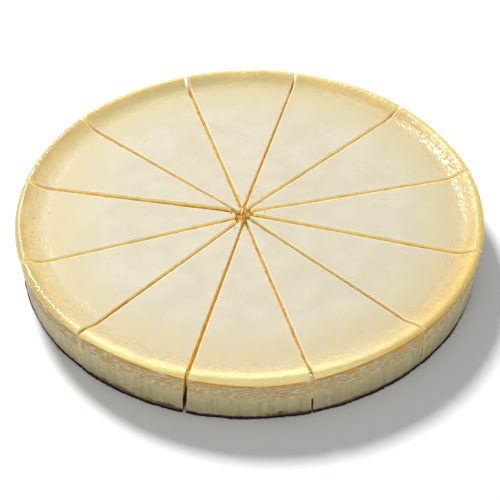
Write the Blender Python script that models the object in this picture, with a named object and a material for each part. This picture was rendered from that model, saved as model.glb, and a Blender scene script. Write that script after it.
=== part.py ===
"""A whole baked cheesecake, cut right through into twelve slices that still lie together.

The filling and the base are each turned as one uneven round, the way the cake is baked.
Twelve narrow cuts then part both rounds, so every slice is two solids: its piece of
baked filling and the piece of crumb base that the filling sits on. Units are metres,
+Z is up, and the origin is the middle of the underside.
"""
import math

import bmesh
import bpy
from mathutils import Vector, noise

# Heights above the table
FIELD_HEIGHT = 0.0271       # flat middle of the top
CREST_HEIGHT = 0.0312       # top of the risen rim
SHOULDER_HEIGHT = 0.0284    # crease under the rim, where the side wall starts
FLAKY_HEIGHT = 0.0170       # foot of the flaky band below the crease
SKIRT_HEIGHT = 0.0020       # lower edge of the filling, above the base's thin lip
BASE_THICKNESS = 0.0062
LIP_THICKNESS = 0.0016      # base crumb that shows under the filling

# Radii
RISE_RADIUS = 0.108         # where the top starts to climb to the rim
CREST_RADIUS = 0.1268
ROLL_RADIUS = 0.0029        # rounding of the rim's outer edge
ROLL_SWEEP = 84             # degrees that the rounding turns down from the crest
WALL_TOP_RADIUS = 0.1286
WALL_FOOT_RADIUS = 0.1272
BASE_RADIUS = 0.1234
LIP_RADIUS = 0.1270
HUB_RADIUS = 0.009          # flat middle disc that no ring divides

FIT_GAP = 0.0003            # between the filling and the base

# Each cut: direction in degrees from +X, sideways offset of its line from the origin,
# its width at the tips, at the rim and at the foot of the rim, and how far it leans
# anticlockwise on its way down the rim, all but the direction in millimetres
CUTS = [
    (13.2, -0.2, 2.0, 1.9, 0.8, 0),
    (43.7, 2.1, 1.7, 2.1, 0.8, 0),
    (75.0, 3.7, 1.4, 1.3, 0.7, 0),
    (106.1, 3.6, 1.6, 1.9, 0.8, 0),
    (138.9, 4.2, 1.2, 1.9, 1.0, 0),
    (169.0, 0.9, 3.4, 2.1, 0.9, 0),
    (198.2, 3.0, 2.1, 1.9, 0.7, 0),
    (227.5, 1.0, 1.8, 2.2, 0.6, -1.9),
    (256.5, -1.1, 1.1, 1.8, 1.8, -1.6),
    (285.3, -4.3, 1.4, 1.6, 0.6, 0.8),
    (314.2, -4.2, 1.7, 1.5, 0.5, 2.0),
    (343.5, -2.3, 2.2, 2.6, 0.8, 0),
]
CUT_CENTRE = Vector((-0.0031, -0.0032, 0))      # middle of the small gap at the tips
TIP_SETBACKS = [5.8, 6.4, 4.4, 5.2, 9.0, 4.8, 6.2, 3.4, 6.7, 4.9, 3.9, 5.2]     # millimetres

# Fineness
TURN_STEPS = 180
RISE_STEPS = 5
ROLL_STEPS = 5
FLAKY_ROWS = 7
WALL_ROWS = 2

# Unevenness of the baked surface: depth, and waves in a turn with a layer of the noise
OUTLINE_DRIFT, OUTLINE_WAVES = 0.0006, (16, 1.5)
CREST_DRIFT, CREST_WAVES = 0.0005, (22, 4.5)
FLAKE_DEPTH, FLAKE_WAVES, FLAKE_LAYER = 0.0009, 90, 7.3
FLAKE_PITCH = 0.0023
FLUTE_DEPTH, FLUTE_WAVES = 0.0005, (88, 2.7)
EDGE_DRIFT, SKIRT_WAVES, LIP_WAVES = 0.0007, (60, 9.5), (70, 12.5)
SAG_DRIFT, SAG_WAVES = 0.0006, (10, 6.5)
# Where the crease hangs down, or below zero is lifted: direction and spread in degrees, depth
SAGS = [(277, 19, 0.0017), (241, 11, -0.0011)]

FILLING_COLOUR = (0.80, 0.69, 0.45, 1)
BASE_COLOUR = (0.18, 0.085, 0.035, 1)


def remove_objects():
    """Empty the scene of the objects it starts with."""
    for thing in list(bpy.data.objects):
        bpy.data.objects.remove(thing, do_unlink=True)


def make_material(name, colour, roughness):
    """Return a plain Principled material."""
    material = bpy.data.materials.new(name)
    material.use_nodes = True
    shader = material.node_tree.nodes["Principled BSDF"]
    shader.inputs["Base Color"].default_value = colour
    shader.inputs["Roughness"].default_value = roughness
    shader.inputs["Metallic"].default_value = 0
    material.diffuse_color = colour
    return material


def ease(value, low, high):
    """Return a smooth step, 0 below low and 1 above high."""
    share = min(max((value - low) / (high - low), 0), 1)
    return share * share * (3 - 2 * share)


def round_noise(angle, waves, layer):
    """Return unevenness round the cake, about -0.7 to 0.7, with so many waves a turn."""
    reach = waves / math.tau
    return noise.noise(Vector((reach * math.cos(angle), reach * math.sin(angle), layer)))


def rise_height(share):
    """Return the top's height at a share of the way from the flat middle to the crest."""
    climb = (1 - math.cos(math.pi * share ** 1.8)) / 2
    return FIELD_HEIGHT + (CREST_HEIGHT - FIELD_HEIGHT) * climb


def wall_radius(height):
    """Return the side wall's radius, which draws in towards the foot."""
    share = max(SHOULDER_HEIGHT - height, 0) / SHOULDER_HEIGHT
    return WALL_TOP_RADIUS + (WALL_FOOT_RADIUS - WALL_TOP_RADIUS) * share ** 1.6


def sag_depth(angle, height):
    """Return how far the crease under the rim hangs below its usual height at an angle."""
    depth = SAG_DRIFT * round_noise(angle, *SAG_WAVES)
    for direction, spread, most in SAGS:
        turn = math.remainder(angle - math.radians(direction), math.tau)
        depth += most * math.exp(-(turn / math.radians(spread)) ** 2)
    below_crest = 1 - ease(height, SHOULDER_HEIGHT, CREST_HEIGHT)
    return depth * below_crest * ease(height, FLAKY_HEIGHT, SHOULDER_HEIGHT)


def filling_profile():
    """Return the filling's outline from the top's middle, over the rim, to the underside."""
    points = [(HUB_RADIUS, FIELD_HEIGHT)]
    for step in range(RISE_STEPS):
        share = step / RISE_STEPS
        radius = RISE_RADIUS + (CREST_RADIUS - RISE_RADIUS) * share ** 0.8
        points.append((radius, rise_height((radius - RISE_RADIUS) / (CREST_RADIUS - RISE_RADIUS))))
    for step in range(ROLL_STEPS):
        turn = math.radians(90 - ROLL_SWEEP * step / (ROLL_STEPS - 1))
        points.append((CREST_RADIUS + ROLL_RADIUS * math.cos(turn),
                       CREST_HEIGHT - ROLL_RADIUS + ROLL_RADIUS * math.sin(turn)))
    for step in range(FLAKY_ROWS):
        height = SHOULDER_HEIGHT + (FLAKY_HEIGHT - SHOULDER_HEIGHT) * step / FLAKY_ROWS
        points.append((wall_radius(height), height))
    for step in range(WALL_ROWS + 1):
        height = FLAKY_HEIGHT + (SKIRT_HEIGHT - FLAKY_HEIGHT) * step / WALL_ROWS
        points.append((wall_radius(height), height))
    points.append((BASE_RADIUS + FIT_GAP, SKIRT_HEIGHT))
    points.append((BASE_RADIUS + FIT_GAP, BASE_THICKNESS + FIT_GAP))
    points.append((HUB_RADIUS, BASE_THICKNESS + FIT_GAP))
    return points


def base_profile():
    """Return the base's outline: a plate with a thin lip that the filling stands over."""
    return [
        (HUB_RADIUS, BASE_THICKNESS),
        (BASE_RADIUS, BASE_THICKNESS),
        (BASE_RADIUS, LIP_THICKNESS),
        (LIP_RADIUS, LIP_THICKNESS),
        (LIP_RADIUS - 0.0003, 0),
        (HUB_RADIUS, 0),
    ]


def turn_round(profile):
    """Spin a profile about the cake's axis and close its flat middle, top and bottom."""
    round_mesh = bmesh.new()
    corners = [round_mesh.verts.new((radius, 0, height)) for radius, height in profile]
    for start, end in zip(corners, corners[1:]):
        round_mesh.edges.new((start, end))
    bmesh.ops.spin(round_mesh, geom=round_mesh.verts[:] + round_mesh.edges[:], cent=(0, 0, 0),
                   axis=(0, 0, 1), angle=math.tau, steps=TURN_STEPS, use_merge=True)
    hub_edges = [edge for edge in round_mesh.edges if edge.is_boundary]
    bmesh.ops.holes_fill(round_mesh, edges=hub_edges, sides=0)
    bmesh.ops.recalc_face_normals(round_mesh, faces=round_mesh.faces[:])
    return round_mesh


def roughen_filling(round_mesh):
    """Give the turned filling the rise, flakes, flutes and ragged lower edge of a baked side."""
    for vert in round_mesh.verts:
        radius = vert.co.xy.length
        height = vert.co.z
        if radius < RISE_RADIUS + FIT_GAP:
            continue
        angle = math.atan2(vert.co.y, vert.co.x)
        outer = ease(radius, RISE_RADIUS, WALL_FOOT_RADIUS)
        drift = OUTLINE_DRIFT * round_noise(angle, *OUTLINE_WAVES) * outer
        lift = CREST_DRIFT * round_noise(angle, *CREST_WAVES) * outer
        lift *= ease(height, FLAKY_HEIGHT, CREST_HEIGHT)
        on_wall = radius > WALL_FOOT_RADIUS - FIT_GAP and height < SHOULDER_HEIGHT + FIT_GAP
        if on_wall:
            band = ease(height, FLAKY_HEIGHT - FLAKE_PITCH, FLAKY_HEIGHT)
            flakes = round_noise(angle, FLAKE_WAVES, FLAKE_LAYER + height / FLAKE_PITCH)
            drift += FLAKE_DEPTH * band * (flakes - 0.25)
            drift += FLUTE_DEPTH * (1 - band) * round_noise(angle, *FLUTE_WAVES)
        if height < SKIRT_HEIGHT + FIT_GAP:
            ragged = EDGE_DRIFT * abs(round_noise(angle, *SKIRT_WAVES))
            lift += ragged * ease(radius, BASE_RADIUS, WALL_FOOT_RADIUS)
        if radius < BASE_RADIUS + 2 * FIT_GAP and height < BASE_THICKNESS + 2 * FIT_GAP:
            drift = 0
        if radius > CREST_RADIUS - FIT_GAP:
            lift -= sag_depth(angle, height)
        scale = (radius + drift) / radius
        vert.co = (vert.co.x * scale, vert.co.y * scale, height + lift)


def roughen_base(round_mesh):
    """Give the base's lip a ragged outline, clear of the filling above it."""
    for vert in round_mesh.verts:
        radius = vert.co.xy.length
        if radius > BASE_RADIUS + FIT_GAP:
            angle = math.atan2(vert.co.y, vert.co.x)
            scale = 1 + EDGE_DRIFT * round_noise(angle, *LIP_WAVES) / radius
            vert.co.x *= scale
            vert.co.y *= scale


def cut_face(cut, side):
    """Return a point and the normal of one face of a cut.

    side is 1 for the face on the cut's anticlockwise side and -1 for the other; the
    normal points into the cut, away from the slice.
    """
    degrees, offset, tip_width, rim_width, foot_width, lean = cut
    along = Vector((math.cos(math.radians(degrees)), math.sin(math.radians(degrees)), 0))
    across = Vector((-along.y, along.x, 0))
    middle = across * offset / 1000
    tip = middle + across * side * tip_width / 2000 + Vector((0, 0, FIELD_HEIGHT))
    rim = (middle + along * CREST_RADIUS + across * side * rim_width / 2000
           + Vector((0, 0, CREST_HEIGHT)))
    foot = middle + along * CREST_RADIUS + across * (side * foot_width / 2 + lean) / 1000
    normal = (rim - tip).cross(foot - tip).normalized()
    if normal.dot(across) * side > 0:
        normal.negate()
    return rim, normal


def tip_face(first, second, setback):
    """Return a point and the normal of the small blunt face at a slice's tip."""
    half_way = math.radians((first[0] + (second[0] - first[0]) % 360 / 2) % 360)
    outward = Vector((math.cos(half_way), math.sin(half_way), 0))
    return CUT_CENTRE + outward * setback / 1000, -outward


def cut_slice(round_mesh, first, second, setback):
    """Return a copy of the round trimmed to the wedge between two cuts."""
    wedge = round_mesh.copy()
    for point, normal in (cut_face(first, 1), cut_face(second, -1),
                          tip_face(first, second, setback)):
        trimmed = bmesh.ops.bisect_plane(wedge, geom=wedge.verts[:] + wedge.edges[:] + wedge.faces[:],
                                         dist=1e-7, plane_co=point, plane_no=normal, clear_outer=True)
        rim_edges = [part for part in trimmed["geom_cut"] if isinstance(part, bmesh.types.BMEdge)]
        bmesh.ops.holes_fill(wedge, edges=rim_edges, sides=0)
    bmesh.ops.recalc_face_normals(wedge, faces=wedge.faces[:])
    return wedge


def place_slice(name, wedge, material, collection):
    """Make a named object of a cut piece."""
    mesh = bpy.data.meshes.new(name)
    wedge.to_mesh(mesh)
    wedge.free()
    mesh.materials.append(material)
    mesh.shade_smooth()
    mesh.set_sharp_from_angle(angle=math.radians(40))
    collection.objects.link(bpy.data.objects.new(name, mesh))


def build_cheesecake():
    """Turn the filling and the base, and part both into the twelve slices."""
    collection = bpy.data.collections.new("cheesecake")
    bpy.context.scene.collection.children.link(collection)
    rounds = [
        ("filling", turn_round(filling_profile()), roughen_filling,
         make_material("baked_filling", FILLING_COLOUR, 0.45)),
        ("base", turn_round(base_profile()), roughen_base,
         make_material("crumb_base", BASE_COLOUR, 0.85)),
    ]
    for piece, round_mesh, roughen, material in rounds:
        roughen(round_mesh)
        for number, first in enumerate(CUTS):
            second = CUTS[(number + 1) % len(CUTS)]
            wedge = cut_slice(round_mesh, first, second, TIP_SETBACKS[number])
            place_slice(f"{piece}_{number + 1:02d}", wedge, material, collection)
        round_mesh.free()


remove_objects()
build_cheesecake()
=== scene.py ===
"""Looks of a whole baked cheesecake that is cut into twelve slices still lying together."""
import math
import random

import bmesh
import bpy
from mathutils import Matrix, Vector, noise


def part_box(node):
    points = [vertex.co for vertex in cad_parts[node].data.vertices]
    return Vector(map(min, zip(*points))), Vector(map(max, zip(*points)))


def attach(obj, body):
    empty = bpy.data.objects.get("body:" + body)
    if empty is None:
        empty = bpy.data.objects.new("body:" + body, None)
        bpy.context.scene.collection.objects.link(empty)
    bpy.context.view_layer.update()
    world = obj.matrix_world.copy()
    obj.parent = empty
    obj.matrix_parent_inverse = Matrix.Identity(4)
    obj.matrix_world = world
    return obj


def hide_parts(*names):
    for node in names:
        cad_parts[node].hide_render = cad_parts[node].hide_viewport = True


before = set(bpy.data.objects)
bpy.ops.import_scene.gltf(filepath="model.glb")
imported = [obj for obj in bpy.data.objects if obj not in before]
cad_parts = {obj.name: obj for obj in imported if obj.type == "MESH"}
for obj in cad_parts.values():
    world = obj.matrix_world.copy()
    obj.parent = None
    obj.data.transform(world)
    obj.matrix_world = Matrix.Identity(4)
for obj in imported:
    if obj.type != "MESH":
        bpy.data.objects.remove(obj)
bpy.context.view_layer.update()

# Baked filling of the twelve slices
# Cream-cheese filling that set in a round tin and rose a little at its rim. Each slice starts
# as a finely divided block whose corners are moved into the wedge between two knife cuts, and
# its skin then gets the rim's bubbles, the flaky band under the crease and the drawn side.
FIELD_HEIGHT = 0.0271
CREST_HEIGHT = 0.0312
SHOULDER_HEIGHT = 0.0284
FLAKY_HEIGHT = 0.0170
SKIRT_HEIGHT = 0.0020
RISE_RADIUS = 0.108
RISE_CURVE = 2.1
CREST_RADIUS = 0.1268
ROLL_RADIUS = 0.0029
ROLL_LOW = math.radians(6)
WALL_TOP_RADIUS = 0.1286
WALL_FOOT_RADIUS = 0.1272
WALL_CURVE = 1.6
TIP_RADIUS = 0.008
TIP_REACH = 0.045
BASE_RADIUS = 0.1234
FIT_GAP = 0.0003
BASE_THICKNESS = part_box("base_01")[1][2]
UNDERSIDE_HEIGHT = BASE_THICKNESS + FIT_GAP

# Direction in degrees, then in millimetres the sideways offset, the widths at the tips, rim
# and foot, and how far the cut leans anticlockwise on its way down the side
CUTS = [
    (13.2, -0.2, 2.0, 1.9, 0.8, 0.0),
    (43.7, 2.1, 1.7, 2.1, 0.8, 0.0),
    (75.0, 3.7, 1.4, 1.3, 0.7, 0.0),
    (106.1, 3.6, 1.6, 1.9, 0.8, 0.0),
    (138.9, 4.2, 1.2, 1.9, 1.0, 0.0),
    (169.0, 0.9, 3.4, 2.1, 0.9, 0.0),
    (198.2, 3.0, 2.1, 1.9, 0.7, 0.0),
    (227.5, 1.0, 1.8, 2.2, 0.6, -3.8),
    (256.5, -1.1, 1.1, 1.8, 1.8, -3.2),
    (285.3, -4.3, 1.4, 1.6, 0.6, 1.5),
    (314.2, -4.2, 1.7, 1.5, 0.5, 4.0),
    (343.5, -2.3, 2.2, 2.6, 0.8, 0.0),
]

# Where the cuts meet, how far from there each slice's tip lies in millimetres, how a cut's
# lean grows down the side, and between which radii it sets in
CUT_CENTRE = Vector((-0.0031, -0.0032))
TIP_SETBACKS = [5.8, 6.4, 4.4, 5.2, 9.0, 4.8, 6.2, 3.4, 6.7, 4.9, 3.9, 5.2]
LEAN_CURVE = 0.6
LEAN_START, LEAN_END = 0.02, 0.11

# Where the crease under the rim hangs down, or below zero is lifted: direction and spread in
# degrees, and depth in metres
SAGS = [(277, 19, 0.0017), (241, 11, -0.0011)]
SAG_DRIFT = 0.0006

# How a slice's block is divided: rows along the top and up the side, columns across, and how
# far the first columns lie from a cut. The rows lie closest from FLAKE_FOOT up, and the top's
# and the side's meet on the rim's roll.
FIELD_ROWS, RIM_ROWS = 64, 76
WALL_ROWS, FLAKY_ROWS, ROLL_ROWS = 18, 50, 10
SIDE_ROWS = WALL_ROWS + FLAKY_ROWS + ROLL_ROWS
WIDTH_COLUMNS = 160
EDGE_STEPS = [0.0, 0.00013, 0.00032, 0.0006, 0.0010]
FLAKE_FOOT = 0.0140
BAND_GAP = 0.0002
CORNER_TURN = math.radians(58)


def ease(value, low, high):
    """Return a smooth step, 0 below low and 1 above high."""
    share = min(max((value - low) / (high - low), 0.0), 1.0)
    return share * share * (3 - 2 * share)


def mix(start, end, share):
    """Return the value at a share of the way from start to end."""
    return start + (end - start) * share


def round_noise(angle, waves, layer):
    """Return unevenness round the cake, with so many waves a turn."""
    reach = waves / math.tau
    return noise.noise(Vector((reach * math.cos(angle), reach * math.sin(angle), layer)))


def grain(x, y, z, size, layer=0.0):
    """Return unevenness whose lumps are about so large."""
    return noise.noise(Vector((x / size + layer, y / size - layer, z / size + 1.7 * layer)))


def rise_height(radius):
    """Return the top's height at a radius, flat in the middle and up to the rim's crest."""
    share = min(max((radius - RISE_RADIUS) / (CREST_RADIUS - RISE_RADIUS), 0.0), 1.0)
    return mix(FIELD_HEIGHT, CREST_HEIGHT, (1 - math.cos(math.pi * share ** RISE_CURVE)) / 2)


def wall_radius(height):
    """Return the side's radius, which draws in towards the foot."""
    share = max(SHOULDER_HEIGHT - height, 0.0) / SHOULDER_HEIGHT
    return mix(WALL_TOP_RADIUS, WALL_FOOT_RADIUS, share ** WALL_CURVE)


def nearness(angle, middle, spread):
    """Return 1 at a direction round the cake, falling off to 0 on both sides of it."""
    return math.exp(-(math.remainder(angle - middle, math.tau) / spread) ** 2)


def sag_depth(angle, height):
    """Return how far the crease under the rim hangs below its usual height at an angle."""
    depth = SAG_DRIFT * round_noise(angle, 10, 6.5)
    for direction, spread, most in SAGS:
        depth += most * nearness(angle, math.radians(direction), math.radians(spread))
    below_crest = 1 - ease(height, SHOULDER_HEIGHT, CREST_HEIGHT)
    return depth * below_crest * ease(height, FLAKY_HEIGHT, SHOULDER_HEIGHT)


def top_outline(share):
    """Return radius, height and normal of the top from the tips (0) to the rolled edge (1)."""
    field_share = FIELD_ROWS / (FIELD_ROWS + RIM_ROWS)
    if share < field_share:
        return mix(TIP_RADIUS, RISE_RADIUS, share / field_share), FIELD_HEIGHT, (0.0, 1.0)
    along = (share - field_share) / (1 - field_share)
    slope_length = CREST_RADIUS - RISE_RADIUS
    roll_length = ROLL_RADIUS * (math.pi / 2 - CORNER_TURN)
    reach = along * (slope_length + roll_length)
    if reach <= slope_length:
        radius = RISE_RADIUS + reach
        step = 0.0002
        tilt = math.atan2(rise_height(radius + step) - rise_height(radius - step), 2 * step)
        return radius, rise_height(radius), (-math.sin(tilt), math.cos(tilt))
    return roll_outline(math.pi / 2 - (reach - slope_length) / ROLL_RADIUS)


def roll_outline(turn):
    """Return radius, height and normal on the rim's rounded edge, at a turn above level."""
    across, up = math.cos(turn), math.sin(turn)
    return (CREST_RADIUS + ROLL_RADIUS * across,
            CREST_HEIGHT - ROLL_RADIUS + ROLL_RADIUS * up, (across, up))


def side_outline(share):
    """Return radius, height and normal of the side from its lower edge (0) to the roll (1)."""
    row = share * SIDE_ROWS
    if row <= WALL_ROWS:
        height = mix(SKIRT_HEIGHT, FLAKE_FOOT, row / WALL_ROWS)
        return wall_radius(height), height, (1.0, 0.0)
    row -= WALL_ROWS
    if row <= FLAKY_ROWS:
        height = mix(FLAKE_FOOT, SHOULDER_HEIGHT - BAND_GAP, row / FLAKY_ROWS)
        return wall_radius(height), height, (1.0, 0.0)
    along = (row - FLAKY_ROWS - 1) / (ROLL_ROWS - 1)
    return roll_outline(mix(ROLL_LOW, CORNER_TURN, along))


def cut_axes(cut):
    """Return a cut's direction in radians, and the level unit vectors along and across it."""
    turn = math.radians(cut[0])
    along = Vector((math.cos(turn), math.sin(turn)))
    return turn, along, Vector((-along.y, along.x))


def cut_face_offset(cut, side, along, height):
    """Return how far one face of a cut lies to the side of the origin."""
    offset, tip_width, rim_width, foot_width, lean = cut[1:]
    rise = (rim_width - foot_width) / CREST_HEIGHT
    start = tip_width - rise * FIELD_HEIGHT
    spread = (foot_width - start) / CREST_RADIUS
    bend = lean * max(1 - height / CREST_HEIGHT, 0.0) ** LEAN_CURVE * ease(along, LEAN_START, LEAN_END)
    return (offset + bend + side * (start + spread * along + rise * height) / 2) / 1000


def column_share(share, width):
    """Return a share across a slice with columns drawn close together along both cuts."""
    column = share * WIDTH_COLUMNS
    count = len(EDGE_STEPS) - 1
    edge_scale = min(1.0, width / (6 * EDGE_STEPS[-1]))
    edge_share = EDGE_STEPS[-1] * edge_scale / width
    nearest = min(column, WIDTH_COLUMNS - column)
    if nearest <= count:
        moved = EDGE_STEPS[round(nearest)] * edge_scale / width
    else:
        moved = mix(edge_share, 0.5, (nearest - count) / (WIDTH_COLUMNS / 2 - count))
    return moved if column <= WIDTH_COLUMNS / 2 else 1 - moved


# How far the knife's drag makes a cut face stray, in metres: all along it, in fine grains,
# and torn at the tip between two radii
DRAG, FINE_DRAG, TORN_DRAG = 0.00012, 0.00005, 0.00045
TORN_START, TORN_END = 0.010, 0.024


class Slice:
    """One wedge between two cuts, which turns block shares into places in the cake."""

    def __init__(self, number):
        """Take the two cuts beside a slice, and the direction of its middle."""
        self.cuts = (CUTS[number], CUTS[(number + 1) % len(CUTS)])
        degrees = [cut[0] for cut in self.cuts]
        opening = (degrees[1] - degrees[0]) % 360
        half_way = math.radians(degrees[0] + opening / 2)
        self.middle = Vector((math.cos(half_way), math.sin(half_way)))
        self.setback = TIP_SETBACKS[number] / 1000
        self.seed = number * 3.37

    def face_point(self, side, radius, height):
        """Return the plan position on a cut face at a radius and height."""
        cut = self.cuts[side]
        _, along, across = cut_axes(cut)
        into = 1 if side == 0 else -1
        offset = cut_face_offset(cut, into, radius, height)
        wear = DRAG * (1 + grain(radius, self.seed + side, height, 0.006))
        wear += FINE_DRAG * grain(radius, self.seed + side, height, 0.0016, 3.1)
        torn = 1 - ease(radius, TORN_START, TORN_END)
        wear += TORN_DRAG * torn * abs(grain(radius, self.seed + side, height, 0.0019, 4.7))
        offset += into * wear * ease(height, 0.0, 0.01)
        start = math.sqrt(TIP_RADIUS ** 2 - min(abs(offset), TIP_RADIUS) ** 2)
        tip = ((self.setback + CUT_CENTRE.dot(self.middle) - across.dot(self.middle) * offset)
               / along.dot(self.middle))
        reach = math.sqrt(max(radius ** 2 - offset ** 2, 0.0))
        reach += (tip - start) * (1 - ease(radius, TIP_RADIUS, TIP_REACH))
        return along * reach + across * offset

    def plan_point(self, share, radius, height):
        """Return the plan position at a share of the way from the first cut to the second."""
        first = self.face_point(0, radius, height)
        second = self.face_point(1, radius, height)
        width = (second - first).length
        share = column_share(share, width)
        straight = first.lerp(second, share)
        opening = first.angle_signed(second)
        turned = first.copy()
        turned.rotate(Matrix.Rotation(-opening * share, 2))
        turned *= mix(first.length, second.length, share) / max(first.length, 1e-9)
        edge = min(share, 1 - share) * width
        return straight.lerp(turned, ease(radius, 0.012, TIP_REACH)), edge


# Burst bubbles and tan spots of the top: how many, out to which radius, and their depth as a
# share of their size. Then the browned bubbles at the left of the rim: direction in degrees,
# radius and size in millimetres
PIT_COUNT = 130
PIT_FIELD_RADIUS = 0.1225
PIT_SLOPE, BUBBLE_SLOPE = 0.12, 0.2
BURST_BUBBLES = [(182.6, 119.0, 1.7), (188.3, 119.4, 1.4), (180.0, 110.7, 1.1)]
BUBBLE_TONE = 0.62
PIT_CELL = 0.004


def scatter_pits():
    """Return the burst bubbles and tan spots of the top: place, radius, depth and tone."""
    draw = random.Random(41)
    pits = []
    for index in range(PIT_COUNT):
        turn = draw.uniform(0, math.tau)
        radius = PIT_FIELD_RADIUS * math.sqrt(draw.random())
        size = mix(0.0005, 0.0010, draw.random() ** 2)
        tone = mix(0.05, 0.2, draw.random())
        if index % 4 == 0:
            size = mix(0.0008, 0.0016, draw.random() ** 2)
            tone = mix(0.15, 0.4, draw.random())
        place = Vector((radius * math.cos(turn), radius * math.sin(turn)))
        pits.append((place, size, size * PIT_SLOPE, tone))
    for direction, radius, size in BURST_BUBBLES:
        turn = math.radians(direction)
        place = Vector((math.cos(turn), math.sin(turn))) * radius / 1000
        pits.append((place, size / 1000, size / 1000 * BUBBLE_SLOPE, BUBBLE_TONE))
    return pits


pit_cells = {}
for pit in scatter_pits():
    column, row = round(pit[0].x / PIT_CELL), round(pit[0].y / PIT_CELL)
    for step_x in (-1, 0, 1):
        for step_y in (-1, 0, 1):
            pit_cells.setdefault((column + step_x, row + step_y), []).append(pit)


def pit_depth(place):
    """Return the depth of burst bubbles at a plan position and how dark they are there."""
    depth, dark = 0.0, 0.0
    cell = (round(place.x / PIT_CELL), round(place.y / PIT_CELL))
    for centre, size, deep, tone in pit_cells.get(cell, ()):
        uneven = 1 + 0.5 * grain(place.x, place.y, 0, size, 12.0)
        inside = 1 - (place - centre).length / size * uneven
        if inside > 0:
            bowl = inside * inside * (3 - 2 * inside)
            depth = max(depth, deep * bowl)
            dark = max(dark, bowl * tone)
    return depth, dark


# How far the knife rounded a slice's edge, in metres, how unevenly, and from which height of
# the unevenness on it chipped the edge
KNIFE_ROUND, KNIFE_UNEVEN = 0.00042, 0.0002
CHIP_START, CHIP_GROWTH = 0.45, 0.003


def edge_round(edge, x, y, z):
    """Return how far the skin drops where the knife rounded the slice's edge."""
    size = KNIFE_ROUND + KNIFE_UNEVEN * grain(x, y, z, 0.004, 5.0)
    chip = grain(x, y, z, 0.0022, 8.0)
    if chip > CHIP_START:
        size += (chip - CHIP_START) * CHIP_GROWTH
    if edge >= size:
        return 0.0
    return size - math.sqrt(max(size ** 2 - (size - edge) ** 2, 0.0))


# Low relief of the top: depth and lump size in metres, from broad to fine, then how high the
# rim swells, and how deep its drawn streaks and beads are
TOP_RELIEF = [(0.00010, 0.022), (0.00004, 0.007), (0.00003, 0.0026)]
RIM_SWELL = 0.0005
RIM_STREAK, RIM_BEAD = 0.00004, 0.00009


def rim_swell(angle):
    """Return how far the rim rises above its usual height at an angle."""
    return RIM_SWELL * round_noise(angle, 22, 4.5)


def top_skin(place, radius, height, edge):
    """Return the relief along the normal on the top and its crease value."""
    x, y = place
    angle = math.atan2(y, x)
    relief = rim_swell(angle) * ease(radius, RISE_RADIUS, WALL_FOOT_RADIUS)
    for index, (depth, size) in enumerate(TOP_RELIEF):
        relief += depth * grain(x, y, 0, size, 2.0 * index)
    relief += RIM_STREAK * ease(radius, 0.112, 0.118) * round_noise(angle, 210, radius / 0.0012)
    relief += RIM_BEAD * ease(radius, 0.1240, 0.1262) * grain(x, y, height, 0.0014, 16.0)
    depth, dark = pit_depth(place)
    return relief - depth - edge_round(edge, x, y, height), dark


# Flecks of the flaky band: pitch up the side, waves a turn, and how far a ridge stands out
# and a hollow goes in. Then the crease: its height and depth, where it is strongest, and
# where it climbs over the roll. Then the streaks on the smooth foot of the side
FLECK_PITCH = 0.00066
FLECK_WAVES, FINE_FLECK_WAVES = 270, 620
RIDGE_RISE, HOLLOW_DEPTH = 0.00022, 0.00040
CREASE_BAND, CREASE_DEPTH = 0.0020, 0.0004
CREASED_TURN, CREASED_SPREAD = math.radians(302), math.radians(52)
TUCKED_TURN, TUCKED_SPREAD = math.radians(322), math.radians(22)
STREAK_WAVES, STREAK_DEPTH = 520, 0.00016


def band_foot(angle):
    """Return the height at which the flaky band ends, uneven round the cake."""
    foot = FLAKY_HEIGHT - 0.9 * sag_depth(angle, SHOULDER_HEIGHT)
    return foot + 0.0015 * round_noise(angle, 30, 21.0) + 0.0013 * round_noise(angle, 130, 22.0)


def fleck_skin(angle, height):
    """Return the relief and the crease value of the flecks in the flaky band."""
    level = (height + 0.0008 * round_noise(angle, 45, 23.0)) / FLECK_PITCH
    fleck = round_noise(angle, FLECK_WAVES, 40 + level)
    fleck += 0.60 * round_noise(angle, FINE_FLECK_WAVES, 80 + 1.7 * level)
    hollow = ease(fleck, 0.00, 0.11)
    ridge = ease(-fleck, 0.05, 0.22)
    # Below zero the crease value is a painted highlight on the ridges. Above zero it darkens the
    # hollows, partly as browning and partly as painted shade.
    return RIDGE_RISE * ridge - HOLLOW_DEPTH * hollow, 0.80 * hollow - ridge


def crease_strength(angle, height):
    """Return how strong the crease under the rim is, from 0 to 1."""
    foot = SHOULDER_HEIGHT - CREASE_BAND - 0.0012 * round_noise(angle, 110, 31.0)
    front = nearness(angle, CREASED_TURN, CREASED_SPREAD)
    tucked = nearness(angle, TUCKED_TURN, TUCKED_SPREAD)
    over_roll = SHOULDER_HEIGHT + 0.0002 * front + 0.0012 * tucked
    crease = ease(height, foot - 0.0004, foot + 0.0003)
    crease *= 1 - ease(height, over_roll, over_roll + 0.0004)
    return crease * ease(round_noise(angle, 80, 33.0) + 0.55 * front + 0.3 * tucked, -0.20, 0.16)


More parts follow.
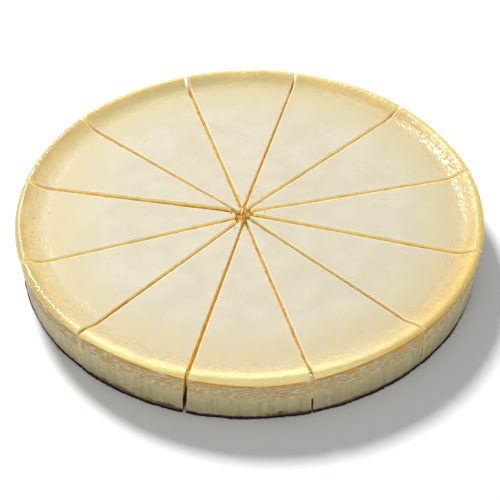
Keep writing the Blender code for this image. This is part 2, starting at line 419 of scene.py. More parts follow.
def side_skin(place, height, edge):
    """Return the relief along the normal on the side, its crease value and its streak value."""
    x, y = place
    angle = math.atan2(y, x)
    foot = band_foot(angle)
    on_wall = 1 - ease(height, SHOULDER_HEIGHT, SHOULDER_HEIGHT + BAND_GAP)
    flaky = ease(height, foot - 0.0010, foot + 0.0014) * on_wall
    relief, dark = 0.0, 0.0
    if flaky > 0:
        relief, dark = (flaky * value for value in fleck_skin(angle, height))
    crease = crease_strength(angle, height)
    relief -= CREASE_DEPTH * crease
    # The crease line takes the full crease colour, partly browning and partly painted shade.
    dark = mix(dark, 1.0, crease)
    smooth = 1 - ease(height, foot - 0.0016, foot + 0.0010)
    streak = round_noise(angle, STREAK_WAVES, height / 0.022)
    streak += 0.6 * round_noise(angle, 2 * STREAK_WAVES, 50 + height / 0.011)
    relief += smooth * STREAK_DEPTH * streak
    # The streaks' hollows get a darker colour, partly their own tone and partly painted shade.
    streak_tone_and_shade = smooth * ease(-streak, 0.02, 0.50)
    relief += 0.00005 * grain(x, y, height, 0.0011, 7.0)
    bulge = ease(height, SHOULDER_HEIGHT, 0.0300)
    relief += bulge * 0.00008 * grain(x, y, height, 0.0030, 9.0)
    relief += bulge * 0.00006 * grain(x, y, height, 0.0016, 16.0)
    return relief - edge_round(edge, x, y, height), dark, streak_tone_and_shade


def outline_drift(angle, radius):
    """Return how far the whole outline strays from a true round at an angle."""
    return 0.0006 * round_noise(angle, 16, 1.5) * ease(radius, RISE_RADIUS, WALL_FOOT_RADIUS)


def divide_block(rows, columns, layers):
    """Return a unit block divided into so many parts along its length, width and height."""
    block = bmesh.new()
    bmesh.ops.create_cube(block, size=1.0, matrix=Matrix.Translation((0.5, 0.5, 0.5)))
    for axis, parts in enumerate((rows, columns, layers)):
        long_edges = [edge for edge in block.edges
                      if abs(edge.verts[0].co[axis] - edge.verts[1].co[axis]) > 0.5]
        bmesh.ops.subdivide_edges(block, edges=long_edges, cuts=parts - 1, use_grid_fill=True)
    return block


SHARP_ANGLE = math.radians(62)


def finish_piece(name, mesh_source, materials, node):
    """Make a smooth-shaded object of a mesh and let it stand for its solid."""
    bmesh.ops.recalc_face_normals(mesh_source, faces=mesh_source.faces[:])
    mesh = bpy.data.meshes.new(name)
    mesh_source.to_mesh(mesh)
    mesh_source.free()
    for material in materials:
        mesh.materials.append(material)
    mesh.shade_smooth()
    mesh.set_sharp_from_angle(angle=SHARP_ANGLE)
    piece = bpy.data.objects.new(name, mesh)
    bpy.context.scene.collection.objects.link(piece)
    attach(piece, "root")
    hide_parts(node)


# Rows over which the side's relief passes into the top's, how high the foot is frayed, how
# wide the painted highlight along a cut's edge is, and where the inside starts to follow the side's
# shape
BLEND_ROWS = 5
FRAYED_HEIGHT = 0.002
EDGE_HIGHLIGHT_START, EDGE_HIGHLIGHT_END = 0.0003, 0.0009
PULL_START = 0.112


def shape_filling(block, wedge):
    """Move a divided block's corners to the skin of one slice's filling."""
    rows = FIELD_ROWS + RIM_ROWS
    layers = SIDE_ROWS
    crease = block.verts.layers.float.new("crease")
    browned = block.verts.layers.float.new("browned")
    painted_edge_highlight = block.verts.layers.float.new("painted_edge_highlight")
    flank = block.verts.layers.float.new("flank")
    streak = block.verts.layers.float.new("streak")
    borders = {}

    def top_at(row, column):
        """Return the finished radius and height of the top, and its crease value."""
        radius, height, normal = top_outline(row / rows)
        place, edge = wedge.plan_point(column / WIDTH_COLUMNS, radius, height)
        relief, dark = top_skin(place, radius, height, edge)
        angle = math.atan2(place.y, place.x)
        drift = outline_drift(angle, radius)
        hang = sag_depth(angle, height) if radius > CREST_RADIUS else 0.0
        return radius + relief * normal[0] + drift, height + relief * normal[1] - hang, dark

    def side_at(layer, column):
        """Return the finished radius and height of the side, and its crease and streak values."""
        radius, height, normal = side_outline(layer / layers)
        place, edge = wedge.plan_point(column / WIDTH_COLUMNS, radius, height)
        angle = math.atan2(place.y, place.x)
        streak_tone_and_shade = 0.0
        if layer == layers:
            relief, dark = top_skin(place, radius, height, edge)
        else:
            relief, dark, streak_tone_and_shade = side_skin(place, height, edge)
            blend = ease(layer, layers - BLEND_ROWS, layers)
            if blend > 0:
                upper = top_skin(place, radius, height, edge)
                relief = mix(relief, upper[0], blend)
        lift = rim_swell(angle) * ease(height, FLAKY_HEIGHT, CREST_HEIGHT) * (1 - normal[1])
        lift -= sag_depth(angle, height)
        frayed = 1 - ease(height, SKIRT_HEIGHT, SKIRT_HEIGHT + FRAYED_HEIGHT)
        lift += frayed * 0.0009 * abs(round_noise(angle, 60, 9.5))
        lift += frayed * 0.0005 * round_noise(angle, 260, 11.0)
        drift = outline_drift(angle, radius)
        return radius + relief * normal[0] + drift, height + relief * normal[1] + lift, dark, streak_tone_and_shade

    def border(kind, index, column):
        """Return a finished point of the skin along a cut, worked out once."""
        key = (kind, index, column)
        if key not in borders:
            borders[key] = top_at(index, column) if kind == "top" else side_at(index, column)
        return borders[key]

    corner_radius = side_outline(1.0)[0]
    for vert in block.verts:
        row = round(vert.co.x * rows)
        column = round(vert.co.y * WIDTH_COLUMNS)
        layer = round(vert.co.z * layers)
        if layer == layers and row < rows:
            radius, height, dark = top_at(row, column)
        elif row == rows:
            radius, height, dark, vert[streak] = side_at(layer, column)
        else:
            on_cut = column in (0, WIDTH_COLUMNS)
            top = border("top", row, column) if on_cut else top_outline(row / rows)
            side = side_outline(layer / layers)
            finished = border("side", layer, column) if on_cut else side
            low = SKIRT_HEIGHT if top[0] > BASE_RADIUS + FIT_GAP else UNDERSIDE_HEIGHT
            share = (side[1] - SKIRT_HEIGHT) / (side_outline(1.0)[1] - SKIRT_HEIGHT)
            pull = ease(top[0], PULL_START, corner_radius)
            radius = top[0] + (finished[0] - corner_radius) * pull
            height = mix(low, top[1], share) + (finished[1] - side[1]) * pull
            dark = 0.0
        place, edge = wedge.plan_point(column / WIDTH_COLUMNS, radius, height)
        vert.co = (place.x, place.y, height)
        vert[crease] = dark
        # Painted highlight: a pale line along each cut's edge.
        vert[painted_edge_highlight] = 1 - ease(edge, EDGE_HIGHLIGHT_START, EDGE_HIGHLIGHT_END)
        if row == rows:
            level = side_outline(layer / layers)[1]
            vert[flank] = 1 - ease(level, SHOULDER_HEIGHT - 0.0001, SHOULDER_HEIGHT + 0.0004)
            vert[browned] = 1 - ease(level, SHOULDER_HEIGHT + 0.0002, CREST_HEIGHT - 0.0008)


# A length in metres, or a share of a block, that counts as none
HAIR = 0.0001


def plain_faces(block, rows):
    """Return a block's faces at the tip and on the flat underside, which need no division."""
    flat_row = 0
    while top_outline(flat_row / rows)[0] < BASE_RADIUS - 0.001:
        flat_row += 1
    tip = [face for face in block.faces if all(vert.co.x < HAIR for vert in face.verts)]
    under = [face for face in block.faces
             if all(vert.co.z < HAIR and vert.co.x < (flat_row + 0.5) / rows for vert in face.verts)]
    return tip, under


def mix_colour(tree, share, first, second):
    """Add a colour mix between two colours or sockets and return its output."""
    node = tree.nodes.new("ShaderNodeMix")
    node.data_type = "RGBA"
    for socket, value in zip((node.inputs[0], node.inputs[6], node.inputs[7]), (share, first, second)):
        if isinstance(value, bpy.types.NodeSocket):
            tree.links.new(value, socket)
        else:
            socket.default_value = value
    return node.outputs[2]


def layered_colour(tree, ground, *layers):
    """Lay colours over a ground, each by its own share, and return the outcome."""
    for share, colour in layers:
        ground = mix_colour(tree, share, ground, colour)
    return ground


def math_node(tree, operation, first, second=0.0, third=0.0):
    """Add a math node and return its output."""
    node = tree.nodes.new("ShaderNodeMath")
    node.operation = operation
    for socket, value in zip(node.inputs, (first, second, third)):
        if isinstance(value, bpy.types.NodeSocket):
            tree.links.new(value, socket)
        else:
            socket.default_value = value
    return node.outputs[0]


def weighted(tree, value, weight):
    """Add a multiplication and return its output."""
    return math_node(tree, "MULTIPLY", value, weight)


def opposite(tree, share):
    """Add a node that returns what a share leaves of 1."""
    return math_node(tree, "SUBTRACT", 1.0, share)


def strayed(tree, value, unevenness, amount):
    """Add nodes that let a value stray both ways by an unevenness between 0 and 1."""
    return math_node(tree, "MULTIPLY_ADD", math_node(tree, "SUBTRACT", unevenness, 0.5), amount, value)


def ease_node(tree, value, low, high):
    """Add a smooth map of a value from low..high to 0..1 and return its output."""
    node = tree.nodes.new("ShaderNodeMapRange")
    node.interpolation_type = "SMOOTHSTEP"
    tree.links.new(value, node.inputs[0])
    node.inputs[1].default_value = low
    node.inputs[2].default_value = high
    return node.outputs[0]


def noise_node(tree, place, scale, detail=2.0, roughness=0.5):
    """Add a noise texture and return its output."""
    node = tree.nodes.new("ShaderNodeTexNoise")
    tree.links.new(place, node.inputs["Vector"])
    node.inputs["Scale"].default_value = scale
    node.inputs["Detail"].default_value = detail
    node.inputs["Roughness"].default_value = roughness
    return node.outputs[0]


def srgb(red, green, blue):
    """Return a linear colour for a colour given in screen values."""
    return tuple(((value / 255 + 0.055) / 1.055) ** 2.4 for value in (red, green, blue)) + (1.0,)


def attribute_value(tree, name):
    """Add a reader of a number stored in the mesh and return its output."""
    node = tree.nodes.new("ShaderNodeAttribute")
    node.attribute_name = name
    return node.outputs["Fac"]


def split_place(tree, place):
    """Add a node that splits a place and return its three outputs."""
    parts = tree.nodes.new("ShaderNodeSeparateXYZ")
    tree.links.new(place, parts.inputs[0])
    return parts.outputs[0], parts.outputs[1], parts.outputs[2]


def plan_radius(tree, x, y):
    """Add nodes that return the distance from the cake's axis."""
    squares = math_node(tree, "MULTIPLY_ADD", x, x, math_node(tree, "MULTIPLY", y, y))
    return math_node(tree, "SQRT", squares)


def streaked_place(tree, x, y, radius, drawn):
    """Add nodes that return a place for patterns that are drawn out round the cake."""
    joined = tree.nodes.new("ShaderNodeCombineXYZ")
    for socket, part in zip(joined.inputs, (x, y)):
        tree.links.new(weighted(tree, math_node(tree, "DIVIDE", part, radius), CREST_RADIUS), socket)
    tree.links.new(weighted(tree, radius, drawn), joined.inputs[2])
    return joined.outputs[0]


def add_bump(tree, shader, height, distance):
    """Let a height field roughen a shader's surface."""
    bump = tree.nodes.new("ShaderNodeBump")
    bump.inputs["Strength"].default_value = 1.0
    bump.inputs["Distance"].default_value = distance
    tree.links.new(height, bump.inputs["Height"])
    tree.links.new(bump.outputs[0], shader.inputs["Normal"])


def new_finish(name):
    """Return a new material, its nodes, its shader and the place on the piece."""
    material = bpy.data.materials.new(name)
    material.use_nodes = True
    tree = material.node_tree
    place = tree.nodes.new("ShaderNodeTexCoord").outputs["Object"]
    return material, tree, tree.nodes["Principled BSDF"], place


def top_colour(tree, place, cloud, wander):
    """Add the top's colours: the pale field, the golden rim and the browned roll, with painted light and
    shade that differ by side.
    """
    x, y, _ = split_place(tree, place)
    # Painted light and shade by side: the front's rim and roll are painted lighter. The right's rim and
    # roll are partly browner and partly painted shade. The left's field and rim are painted lighter and
    # its roll is painted darker.
    front = ease_node(tree, y, -0.02, -0.11)
    right_browning_and_shade = ease_node(tree, x, 0.040, 0.110)
    left_painted_light_and_shade = ease_node(tree, x, -0.070, -0.115)
    speck = ease_node(tree, noise_node(tree, place, 420, 3, 0.6), 0.54, 0.75)
    field = layered_colour(
        tree, srgb(204, 194, 167),
        (ease_node(tree, cloud, 0.3, 0.7), srgb(210, 201, 177)),
        (weighted(tree, speck, 0.40), srgb(202, 182, 136)),
        (ease_node(tree, wander, 0.086, 0.116), srgb(207, 191, 149)),
        (weighted(tree, left_painted_light_and_shade, 0.8), srgb(211, 195, 153)))
    rim = layered_colour(
        tree, srgb(219, 195, 131),
        (front, srgb(214, 196, 150)),
        (weighted(tree, right_browning_and_shade, 0.8), srgb(206, 175, 106)),
        (weighted(tree, left_painted_light_and_shade, 0.7), srgb(232, 206, 144)))
    roll = layered_colour(
        tree, srgb(236, 210, 146),
        (front, srgb(255, 234, 170)),
        (right_browning_and_shade, srgb(228, 198, 122)),
        (left_painted_light_and_shade, srgb(206, 178, 114)))
    # Painted light: the browned roll is painted lighter at the front.
    browned_roll = mix_colour(tree, front, srgb(212, 172, 92), srgb(252, 212, 118))
    return layered_colour(
        tree, field,
        (ease_node(tree, wander, 0.1125, 0.1235), rim),
        (ease_node(tree, wander, 0.1220, 0.1275), roll),
        (weighted(tree, attribute_value(tree, "browned"), 0.8), browned_roll))


def side_colour(tree, place, height):
    """Add the side's colours: greyer at the foot, with pale mottles and brown streaks whose hollows are
    partly painted shade.
    """
    mottle = ease_node(tree, noise_node(tree, place, 240, 4, 0.6), 0.50, 0.70)
    return layered_colour(
        tree, srgb(178, 164, 122),
        (ease_node(tree, height, 0.003, 0.017), srgb(196, 182, 138)),
        (weighted(tree, mottle, 0.5), srgb(212, 202, 166)),
        (weighted(tree, attribute_value(tree, "streak"), 0.35), srgb(160, 132, 92)))


FILLING_IOR = 1.42


def bake_filling_material():
    """Return the filling's finish: pale on top, golden at the rim, orange in its creases, partly
    browning and partly painted shade.
    """
    material, tree, shader, place = new_finish("baked_filling")
    x, y, height = split_place(tree, place)
    radius = plan_radius(tree, x, y)
    cloud = noise_node(tree, place, 60, 4)
    wander = strayed(tree, radius, cloud, 0.010)
    on_side = attribute_value(tree, "flank")
    crease = attribute_value(tree, "crease")
    # Painted highlight: the ridges between the flecks are painted paler, as if they caught light.
    ridge_painted_highlight = ease_node(tree, weighted(tree, crease, -1.0), 0.0, 1.0)
    stain_edge = strayed(tree, height, cloud, -0.010)
    stain_edge = strayed(tree, stain_edge, noise_node(tree, place, 330, 5, 0.7), -0.008)
    stain = opposite(tree, ease_node(tree, stain_edge, 0.0014, 0.0042))
    # Painted highlight: the pale line along the cuts' edges, weaker on the side.
    wear = math_node(tree, "MULTIPLY_ADD", on_side, -0.35, 0.60)
    skin = layered_colour(
        tree, top_colour(tree, place, cloud, wander),
        (on_side, side_colour(tree, place, height)),
        (weighted(tree, stain, on_side), srgb(118, 78, 44)),
        (weighted(tree, ridge_painted_highlight, 0.6), srgb(218, 208, 172)),
        # The crease colour is partly browning and partly painted shade in the crease line and the fleck
        # hollows. On the top it marks the tan spots.
        (math_node(tree, "MAXIMUM", crease, 0.0), srgb(224, 158, 26)),
        (weighted(tree, attribute_value(tree, "painted_edge_highlight"), wear), srgb(234, 228, 212)))
    tree.links.new(skin, shader.inputs["Base Color"])
    on_top = opposite(tree, on_side)
    on_rim = weighted(tree, ease_node(tree, wander, 0.109, 0.116), on_top)
    on_crest = weighted(tree, ease_node(tree, radius, 0.1235, 0.1262), on_top)
    streaks = noise_node(tree, streaked_place(tree, x, y, radius, 3.0), 300, 3, 0.6)
    moist = weighted(tree, weighted(tree, on_rim, ease_node(tree, streaks, 0.47, 0.56)), 0.84)
    moist = math_node(tree, "MAXIMUM", moist, on_crest)
    tree.links.new(math_node(tree, "MULTIPLY_ADD", moist, -0.49, 0.60), shader.inputs["Roughness"])
    shader.inputs["Specular IOR Level"].default_value = 0.5
    shader.inputs["IOR"].default_value = FILLING_IOR
    glow = math_node(tree, "MULTIPLY_ADD", on_side, -0.40, 0.60)
    tree.links.new(glow, shader.inputs["Subsurface Weight"])
    shader.inputs["Subsurface Radius"].default_value = (1.0, 0.78, 0.50)
    shader.inputs["Subsurface Scale"].default_value = 0.0035
    fine = noise_node(tree, place, 1100, 3, 0.6)
    beads = noise_node(tree, place, 700, 1, 0.5)
    ground = weighted(tree, streaks, weighted(tree, on_rim, 0.45))
    ground = math_node(tree, "MULTIPLY_ADD", fine, 0.20, ground)
    ground = math_node(tree, "MULTIPLY_ADD", beads, weighted(tree, on_crest, 1.4), ground)
    add_bump(tree, shader, ground, 0.00026)
    return material


def cut_filling_material():
    """Return the finish of the knife cuts: golden and glowing, browner down at the side, partly toasted
    and partly painted shade.
    """
    material, tree, shader, place = new_finish("cut_filling")
    x, y, height = split_place(tree, place)
    cloud = noise_node(tree, place, 180, 4)
    ragged = strayed(tree, height, cloud, 0.012)
    low = opposite(tree, ease_node(tree, ragged, 0.009, 0.017))
    # Low down near the side the cut faces turn dark brown, partly toasted crust and partly painted shade
    # deep in the cuts.
    toast_and_painted_shade = weighted(tree, low, ease_node(tree, plan_radius(tree, x, y), 0.112, 0.122))
    colour = layered_colour(
        tree, srgb(255, 200, 90),
        (ease_node(tree, ragged, 0.0215, 0.0262), srgb(255, 227, 158)),
        (toast_and_painted_shade, srgb(150, 84, 24)))
    tree.links.new(colour, shader.inputs["Base Color"])
    shader.inputs["Roughness"].default_value = 0.55
    shader.inputs["IOR"].default_value = FILLING_IOR
    shader.inputs["Subsurface Weight"].default_value = 0.9
    shader.inputs["Subsurface Radius"].default_value = (1.0, 0.75, 0.45)
    shader.inputs["Subsurface Scale"].default_value = 0.008
    add_bump(tree, shader, noise_node(tree, place, 700, 3, 0.6), 0.0003)
    return material


filling_material = bake_filling_material()
cut_material = cut_filling_material()
filling_block = divide_block(FIELD_ROWS + RIM_ROWS, WIDTH_COLUMNS, SIDE_ROWS)
for face in filling_block.faces:
    middle = face.calc_center_median()
    if middle.x < HAIR or middle.y < HAIR or middle.y > 1 - HAIR:
        face.material_index = 1
tip_faces, under_faces = plain_faces(filling_block, FIELD_ROWS + RIM_ROWS)
bmesh.ops.dissolve_faces(filling_block, faces=tip_faces)
bmesh.ops.dissolve_faces(filling_block, faces=under_faces)
for number in range(len(CUTS)):
    filling = filling_block.copy()
    shape_filling(filling, Slice(number))
    finish_piece(f"filling_slice_{number + 1:02d}", filling, [filling_material, cut_material],
                 f"filling_{number + 1:02d}")
filling_block.free()

# Crumb base of the twelve slices
# Pressed biscuit crumb under the filling, with a thin crumbly lip that shows at the foot of
# the side. Each slice's base is a divided block bent over the step, with crumbs as relief.
LIP_THICKNESS = 0.0016
LIP_RADIUS = 0.1270
PLATE_ROWS, LIP_ROWS = 30, 8
BASE_LAYERS = 6
LIP_FLARE = 0.0006
CRUMB_RELIEF, CRUMB_LIFT = 0.00030, 0.00012


def base_outline(share):
    """Return radius and height of the base's upper side, from the tips to the lip's edge."""
    row = share * (PLATE_ROWS + LIP_ROWS)
    if row <= PLATE_ROWS:
        return mix(TIP_RADIUS, BASE_RADIUS - HAIR, (row / PLATE_ROWS) ** 0.6), BASE_THICKNESS
    return mix(BASE_RADIUS, LIP_RADIUS, (row - PLATE_ROWS - 1) / (LIP_ROWS - 1)), LIP_THICKNESS


def shape_base(block, wedge):
    """Move a divided block's corners to the skin of one slice's crumb base."""
    for vert in block.verts:
        radius, top = base_outline(vert.co.x)
        height = top * vert.co.z
        radius += LIP_FLARE * (1 - vert.co.z) ** 2 * ease(radius, BASE_RADIUS, LIP_RADIUS)
        place = wedge.plan_point(vert.co.y, radius, height)[0]
        if radius > BASE_RADIUS + FIT_GAP:
            angle = math.atan2(place.y, place.x)
            crumbs = grain(place.x, place.y, height, 0.0009)
            crumbs += 0.6 * grain(place.x, place.y, height, 0.0021, 3.0)
            radius += 0.0005 * round_noise(angle, 70, 12.5) + CRUMB_RELIEF * crumbs
            if height > HAIR:
                height += CRUMB_LIFT * crumbs
            place = wedge.plan_point(vert.co.y, radius, height)[0]
        vert.co = (place.x, place.y, height)


def crumb_material():
    """Return the finish of pressed biscuit crumb: brown grains, dull, near black at the floor as painted
    contact shadow and dark crust.
    """
    material, tree, shader, place = new_finish("crumb_base")
    grains = tree.nodes.new("ShaderNodeTexVoronoi")
    grains.inputs["Scale"].default_value = 900
    tree.links.new(place, grains.inputs["Vector"])
    shade = noise_node(tree, place, 500, 4, 0.65)
    colour = mix_colour(tree, ease_node(tree, shade, 0.35, 0.65), srgb(84, 46, 22), srgb(156, 104, 60))
    height = split_place(tree, place)[2]
    # Painted shadow: the lowest millimetre or so is near black. It stands in for the contact shadow
    # under the foot together with a dark crust.
    colour = mix_colour(tree, ease_node(tree, height, 0.0009, 0.0015), srgb(5, 4, 4), colour)
    tree.links.new(colour, shader.inputs["Base Color"])
    shader.inputs["Roughness"].default_value = 0.85
    add_bump(tree, shader, grains.outputs["Distance"], 0.0005)
    return material


base_material = crumb_material()
base_block = divide_block(PLATE_ROWS + LIP_ROWS, WIDTH_COLUMNS, BASE_LAYERS)
for number in range(len(CUTS)):
    base = base_block.copy()
    shape_base(base, Slice(number))
    finish_piece(f"base_slice_{number + 1:02d}", base, [base_material],
                 f"base_{number + 1:02d}")
base_block.free()

# Loose crumbs along the cuts
# Tiny crumbs of filling that the knife left on the top beside the cuts, with more of them at
# the tips of the slices. Each is a rough little ball that sits on the surface.
CRUMB_COUNT, TIP_CRUMB_COUNT = 130, 26
CRUMB_REACHES, TIP_CRUMB_REACHES = (0.012, 0.121), (0.008, 0.016)
CRUMB_SIZES, TIP_CRUMB_SIZES = (0.00014, 0.00040), (0.00020, 0.00055)
CRUMB_STRAY = 0.0010


def add_crumb(heap, centre, size, seed):
    """Add one rough little ball of filling to a mesh."""
    ball = bmesh.ops.create_icosphere(heap, subdivisions=2, radius=size)["verts"]
    for vert in ball:
        lump = 1 + 0.45 * grain(vert.co.x, vert.co.y, vert.co.z, size, seed)
        vert.co = centre + Vector((vert.co.x * lump, vert.co.y * lump, vert.co.z * lump * 0.7))


def finish_heap(name, heap, material):
    """Make one object of a mesh of crumbs."""
    mesh = bpy.data.meshes.new(name)
    heap.to_mesh(mesh)
    heap.free()
    mesh.materials.append(material)
    mesh.shade_smooth()
    piece = bpy.data.objects.new(name, mesh)
    bpy.context.scene.collection.objects.link(piece)
    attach(piece, "root")


def lump_material(name, dull, bright):
    """Return a plain uneven finish between two colours for small lumps."""
    material, tree, shader, place = new_finish(name)
    shade = noise_node(tree, place, 420, 3, 0.6)
    colour = mix_colour(tree, ease_node(tree, shade, 0.40, 0.62), dull, bright)
    tree.links.new(colour, shader.inputs["Base Color"])
    shader.inputs["Roughness"].default_value = 0.5
    return material


draw = random.Random(7)
crumb_heap = bmesh.new()
for index in range(CRUMB_COUNT + TIP_CRUMB_COUNT):
    cut = draw.choice(CUTS)
    beside = draw.choice((-1, 1))
    if index < CRUMB_COUNT:
        reach = mix(*CRUMB_REACHES, draw.random())
        size = mix(*CRUMB_SIZES, draw.random() ** 2)
    else:
        reach = mix(*TIP_CRUMB_REACHES, draw.random())
        size = mix(*TIP_CRUMB_SIZES, draw.random())
    turn, along, across = cut_axes(cut)
    away = cut_face_offset(cut, beside, reach, FIELD_HEIGHT)
    away += beside * (size + mix(0.0, CRUMB_STRAY, draw.random() ** 2))
    spot = along * reach + across * away
    surface = rise_height(spot.length) + 0.8 * rim_swell(turn) * ease(reach, RISE_RADIUS, 0.127)
    add_crumb(crumb_heap, Vector((spot.x, spot.y, surface + size * 0.3)), size, index * 1.3)
finish_heap("loose_crumbs", crumb_heap,
            lump_material("filling_crumb", srgb(222, 190, 122), srgb(240, 226, 184)))

# Dragged filling inside the cuts
# Soft filling that the knife pulled along and left in the cuts. A strip closes each cut a
# little below the top, lumps close three of the front cuts at the side, and a soft plug with
# small shreds and scorched crumbs fills the hole between the tips.
WEB_DEPTH, GLOW_WEB_DEPTH = 0.0026, 0.0021
WEB_THICKNESS = 0.0105
WEB_HOLLOW, WEB_OVERLAP = 0.0012, 0.0003
WEB_ENDS = [119, 117, 115, 115, 116, 119, 123, 125, 125.6, 125, 125, 122]     # millimetres
# Painted glow: the strips in the cuts at 75.0 and 256.5 degrees are a brighter amber copy, standing in
# for light that does not reach into those cuts.
GLOW_PAINTED_WEBS = (2, 8)     # the cuts at 75.0 and 256.5 degrees, where the strip is amber
SMEARS = [(7, 0.0030, 0.0285), (9, 0.0110, 0.0290), (10, 0.0030, 0.0215)]     # cut and heights
PLUG_RADIUS, PLUG_HALF_HEIGHT, PLUG_HEIGHT = 0.0062, 0.0054, 0.0190
HOLE_CENTRE, SCORCHED_CENTRE = Vector((-0.0030, -0.0038)), Vector((-0.0027, -0.0056))
HOLE_RADIUS, SCORCHED_RADIUS = 0.0046, 0.0026
HOLE_SHREDS, SCORCHED_SHREDS = 40, 16
HOLE_SHRED_SIZES, HOLE_SHRED_HEIGHTS = (0.00012, 0.00026), (0.0248, 0.0262)
SCORCHED_SIZES, SCORCHED_HEIGHTS = (0.00016, 0.00034), (0.0264, 0.0272)


def add_web(heap, cut, depth, end):
    """Add a strip of filling that closes a cut at a depth below the top, out to a radius."""
    turn, along, across = cut_axes(cut)
    start = HOLE_CENTRE.dot(along)
    strip = bmesh.ops.create_grid(heap, x_segments=160, y_segments=5, size=0.5)["verts"]
    for vert in strip:
        reach, share = mix(start, end, vert.co.x + 0.5), vert.co.y + 0.5
        height = rise_height(reach) - depth + WEB_HOLLOW * grain(reach, turn, share * 0.001, 0.0035)
        height -= WEB_HOLLOW * (1 - abs(2 * share - 1))
        edges = [cut_face_offset(cut, side, reach, height) for side in (-1, 1)]
        away = mix(edges[0] - WEB_OVERLAP, edges[1] + WEB_OVERLAP, share)
        vert.co = (*(along * reach + across * away), height)
    sheet = list(dict.fromkeys(face for vert in strip for face in vert.link_faces))
    drawn = bmesh.ops.extrude_face_region(heap, geom=sheet)["geom"]
    lower = [part for part in drawn if isinstance(part, bmesh.types.BMVert)]
    bmesh.ops.translate(heap, verts=lower, vec=(0, 0, -WEB_THICKNESS))


def add_plug(heap):
    """Add the rough plug of filling in the hole between the tips."""
    plug = bmesh.ops.create_icosphere(heap, subdivisions=5, radius=1.0)["verts"]
    for vert in plug:
        lump = 1 + 0.12 * grain(vert.co.x, vert.co.y, vert.co.z, 0.35, 3.0)
        lump += 0.06 * grain(vert.co.x, vert.co.y, vert.co.z, 0.12, 6.0)
        spot = HOLE_CENTRE + vert.co.xy * PLUG_RADIUS * lump
        vert.co = (spot.x, spot.y, PLUG_HEIGHT + vert.co.z * PLUG_HALF_HEIGHT * lump)


def fill_cut(heap, cut, low, high):
    """Close a cut at the side with lumps between two heights."""
    _, along, across = cut_axes(cut)
    height = low
    while height < high:
        reach = wall_radius(height) - mix(0.0008, 0.0013, draw.random())
        faces = [cut_face_offset(cut, side, reach, height) for side in (-1, 1)]
        middle = mix(faces[0], faces[1], draw.uniform(0.3, 0.7))
        size = (faces[1] - faces[0]) / 2 + 0.0003 * draw.random()
        spot = along * math.sqrt(reach ** 2 - middle ** 2) + across * middle
        add_crumb(heap, Vector((spot.x, spot.y, height)), size, height * 900)
        height += size * mix(0.6, 1.0, draw.random())


def add_shred(heap, centre, pole, length, width, seed):
    """Add one rough shred of filling that points away from a pole."""
    outward = centre.xy - pole
    turn = math.atan2(outward.y, outward.x)
    shred = bmesh.ops.create_icosphere(heap, subdivisions=2, radius=1.0)["verts"]
    for vert in shred:
        lump = 1 + 0.45 * grain(vert.co.x, vert.co.y, vert.co.z, 1.0, seed)
        vert.co = Vector((vert.co.x * length, vert.co.y * width, vert.co.z * width)) * lump
    bmesh.ops.rotate(heap, verts=shred, cent=(0, 0, 0), matrix=Matrix.Rotation(turn, 3, "Z"))
    bmesh.ops.translate(heap, verts=shred, vec=centre)


web_heap = bmesh.new()
glow_painted_heap = bmesh.new()
add_plug(web_heap)
for number, cut in enumerate(CUTS):
    if number in GLOW_PAINTED_WEBS:
        add_web(glow_painted_heap, cut, GLOW_WEB_DEPTH, WEB_ENDS[number] / 1000)
    else:
        add_web(web_heap, cut, WEB_DEPTH, WEB_ENDS[number] / 1000)
for heap in (web_heap, glow_painted_heap):
    bmesh.ops.recalc_face_normals(heap, faces=heap.faces[:])
finish_heap("filling_webs", web_heap,
            lump_material("web_filling", srgb(204, 156, 46), srgb(218, 174, 66)))
# Painted glow: a brighter amber copy of the strip colour for the two shaded cuts.
finish_heap("glow_painted_webs", glow_painted_heap,
            lump_material("glow_painted_filling", srgb(244, 182, 8), srgb(250, 202, 20)))

smear_heap = bmesh.new()
for number, low, high in SMEARS:
    fill_cut(smear_heap, CUTS[number], low, high)
for index in range(HOLE_SHREDS):
    turn = draw.uniform(0, math.tau)
    reach = HOLE_RADIUS * math.sqrt(draw.random())
    spot = HOLE_CENTRE + Vector((math.cos(turn), math.sin(turn))) * reach
    size = mix(*HOLE_SHRED_SIZES, draw.random() ** 2)
    height = mix(*HOLE_SHRED_HEIGHTS, draw.random())
    add_shred(smear_heap, Vector((spot.x, spot.y, height)), SCORCHED_CENTRE, size * 5, size, index * 0.7)
finish_heap("dragged_filling", smear_heap,
            lump_material("dragged_filling", srgb(232, 184, 78), srgb(246, 218, 146)))

scorched_heap = bmesh.new()
for index in range(SCORCHED_SHREDS):
    turn = draw.uniform(0, math.tau)
    reach = SCORCHED_RADIUS * math.sqrt(draw.random())
    spot = SCORCHED_CENTRE + Vector((0.7 * math.cos(turn), math.sin(turn))) * reach
    size = mix(*SCORCHED_SIZES, draw.random())
    centre = Vector((spot.x, spot.y, mix(*SCORCHED_HEIGHTS, draw.random())))
    add_shred(scorched_heap, centre, SCORCHED_CENTRE, size * 2.6, size, index * 1.1)
finish_heap("scorched_crumbs", scorched_heap,
            lump_material("scorched_filling", srgb(146, 74, 6), srgb(208, 130, 16)))

# Floor, light and camera
# A plain pale floor under the cake, one soft light high at the back left with a weak one low
# at the front, and the camera at the height and distance the cake was seen from.
FLOOR_SIZE, FLOOR_DROP = 3.0, 0.0001
CAMERA_ELEVATION = math.radians(42.8)
CAMERA_DISTANCE = 0.80
CAMERA_ROLL = math.radians(-0.53)
CAMERA_AIM = Vector((0.0002, -0.0027, 0.0))
CAMERA_LENS = 101.2
KEY_TURN, KEY_ELEVATION = math.radians(117), math.radians(46.5)
KEY_DISTANCE, KEY_SIZE, KEY_ENERGY = 3.5, 0.82, 139
FILL_TURN, FILL_ELEVATION = math.radians(-86), math.radians(26)
FILL_DISTANCE, FILL_SIZE, FILL_ENERGY = 2.5, 1.1, 11

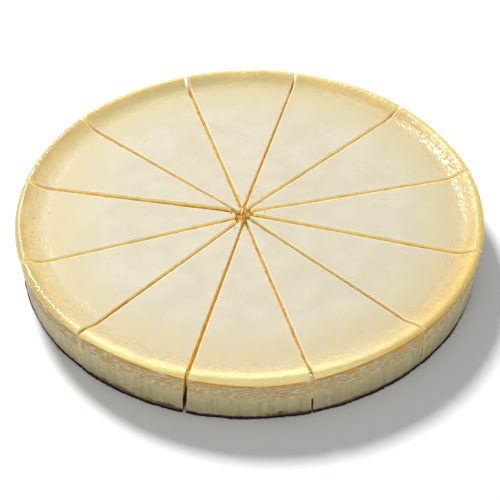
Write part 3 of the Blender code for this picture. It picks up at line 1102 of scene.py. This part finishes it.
floor_mesh = bpy.data.meshes.new("floor")
floor_shape = bmesh.new()
bmesh.ops.create_grid(floor_shape, x_segments=1, y_segments=1, size=FLOOR_SIZE)
bmesh.ops.translate(floor_shape, verts=floor_shape.verts, vec=(0, 0, -FLOOR_DROP))
floor_shape.to_mesh(floor_mesh)
floor_shape.free()
floor_material = bpy.data.materials.new("pale_floor")
floor_material.use_nodes = True
floor_shader = floor_material.node_tree.nodes["Principled BSDF"]
floor_shader.inputs["Base Color"].default_value = (0.93, 0.93, 0.93, 1)
floor_shader.inputs["Roughness"].default_value = 0.7
floor_mesh.materials.append(floor_material)
floor = bpy.data.objects.new("floor", floor_mesh)
bpy.context.scene.collection.objects.link(floor)

world = bpy.data.worlds.new("studio")
bpy.context.scene.world = world
world.use_nodes = True
world.node_tree.nodes["Background"].inputs["Color"].default_value = (0.88, 0.94, 1.0, 1)
world.node_tree.nodes["Background"].inputs["Strength"].default_value = 0.37


def add_light(name, turn, elevation, distance, size, energy):
    """Add a round soft light that shines at the cake from a direction."""
    light = bpy.data.lights.new(name, "AREA")
    light.shape = "DISK"
    light.size = size
    light.energy = energy
    lamp = bpy.data.objects.new(name, light)
    direction = Vector((math.cos(turn) * math.cos(elevation), math.sin(turn) * math.cos(elevation),
                        math.sin(elevation)))
    lamp.location = direction * distance
    lamp.rotation_euler = direction.to_track_quat("Z", "Y").to_euler()
    bpy.context.scene.collection.objects.link(lamp)


add_light("soft_key", KEY_TURN, KEY_ELEVATION, KEY_DISTANCE, KEY_SIZE, KEY_ENERGY)
add_light("soft_fill", FILL_TURN, FILL_ELEVATION, FILL_DISTANCE, FILL_SIZE, FILL_ENERGY)

camera_data = bpy.data.cameras.new("camera")
camera_data.lens = CAMERA_LENS
camera_data.sensor_width = 36
camera = bpy.data.objects.new("camera", camera_data)
bpy.context.scene.collection.objects.link(camera)
camera_place = Vector((0, -math.cos(CAMERA_ELEVATION), math.sin(CAMERA_ELEVATION))) * CAMERA_DISTANCE
facing = (camera_place - CAMERA_AIM).to_track_quat("Z", "Y").to_matrix()
camera.matrix_world = (Matrix.Translation(camera_place)
                       @ (facing @ Matrix.Rotation(CAMERA_ROLL, 3, "Z")).to_4x4())
bpy.context.scene.camera = camera
bpy.context.scene.view_settings.view_transform = "Standard"
